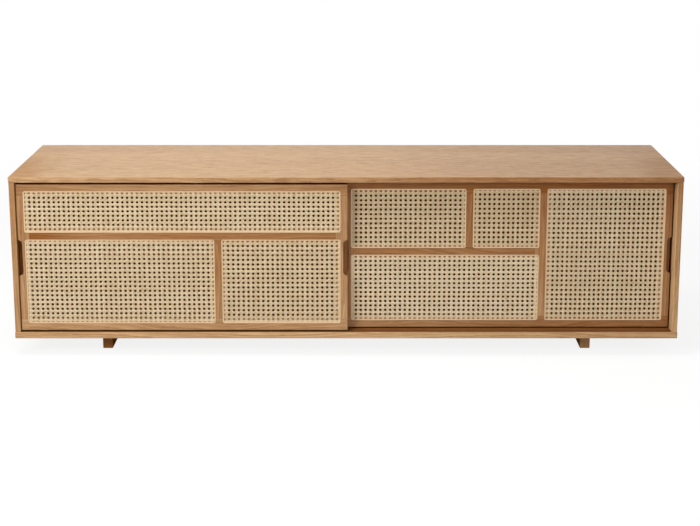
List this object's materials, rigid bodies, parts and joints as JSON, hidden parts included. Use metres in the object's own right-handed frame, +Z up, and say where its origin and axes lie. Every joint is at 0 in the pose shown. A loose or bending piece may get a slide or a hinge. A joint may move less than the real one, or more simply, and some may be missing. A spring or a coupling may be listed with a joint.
{
  "type": "tv cabinet",
  "caption": "Low oak media cabinet on runner feet, with two by-pass sliding doors of framed woven cane over shelved compartments.",
  "frame": {"origin": "on the floor under the middle of the cabinet", "axes": "+X along the width to the right as seen from the front, front facing -Y, +Z up"},
  "size_m": [1.7, 0.45, 0.47],
  "materials": {
    "carcass_oak": "clear matt oil",
    "door_oak": "clear matt oil",
    "back_ply": "dark stained veneer",
    "cane": "natural peeled cane",
    "nylon": "moulded",
    "track_plastic": "extruded",
    "felt": "pressed felt",
    "steel": "zinc plated"
  },
  "bodies": {
    "cabinet": {"top_panel": "carcass_oak", "base_panel": "carcass_oak", "front_base_track": "track_plastic", "rear_base_track": "track_plastic", "left_side_panel": "carcass_oak", "right_side_panel": "carcass_oak", "centre_divider": "carcass_oak", "back_panel": "back_ply", "left_shelf": "carcass_oak", "right_shelf": "carcass_oak", "left_shelf_front_side_pin": "steel", "left_shelf_front_divider_pin": "steel", "left_shelf_rear_side_pin": "steel", "left_shelf_rear_divider_pin": "steel", "right_shelf_front_side_pin": "steel", "right_shelf_front_divider_pin": "steel", "right_shelf_rear_side_pin": "steel", "right_shelf_rear_divider_pin": "steel", "left_runner_foot": "carcass_oak", "right_runner_foot": "carcass_oak", "left_foot_front_screw": "steel", "left_foot_rear_screw": "steel", "right_foot_front_screw": "steel", "right_foot_rear_screw": "steel", "left_foot_front_pad": "felt", "left_foot_rear_pad": "felt", "right_foot_front_pad": "felt", "right_foot_rear_pad": "felt"},
    "left_door": {"left_door_top_rail": "door_oak", "left_door_bottom_rail": "door_oak", "left_door_left_stile": "door_oak", "left_door_right_stile": "door_oak", "left_door_middle_rail": "door_oak", "left_door_mullion": "door_oak", "left_door_upper_cane": "cane", "left_door_wide_cane": "cane", "left_door_narrow_cane": "cane", "left_door_left_glide": "nylon", "left_door_right_glide": "nylon", "left_door_left_guide_pin": "nylon", "left_door_right_guide_pin": "nylon"},
    "right_door": {"right_door_top_rail": "door_oak", "right_door_bottom_rail": "door_oak", "right_door_left_stile": "door_oak", "right_door_right_stile": "door_oak", "right_door_middle_rail": "door_oak", "right_door_tall_mullion": "door_oak", "right_door_short_mullion": "door_oak", "right_door_upper_cane": "cane", "right_door_small_cane": "cane", "right_door_wide_cane": "cane", "right_door_tall_cane": "cane", "right_door_left_glide": "nylon", "right_door_right_glide": "nylon", "right_door_left_guide_pin": "nylon", "right_door_right_guide_pin": "nylon"}
  },
  "joints": [
    {"name": "left_door_slide", "type": "slide", "parent": "cabinet", "child": "left_door", "axis": [1, 0, 0], "range_m": [0, 0.8308]},
    {"name": "right_door_slide", "type": "slide", "parent": "cabinet", "child": "right_door", "axis": [1, 0, 0], "range_m": [-0.8286, 0]}
  ]
}
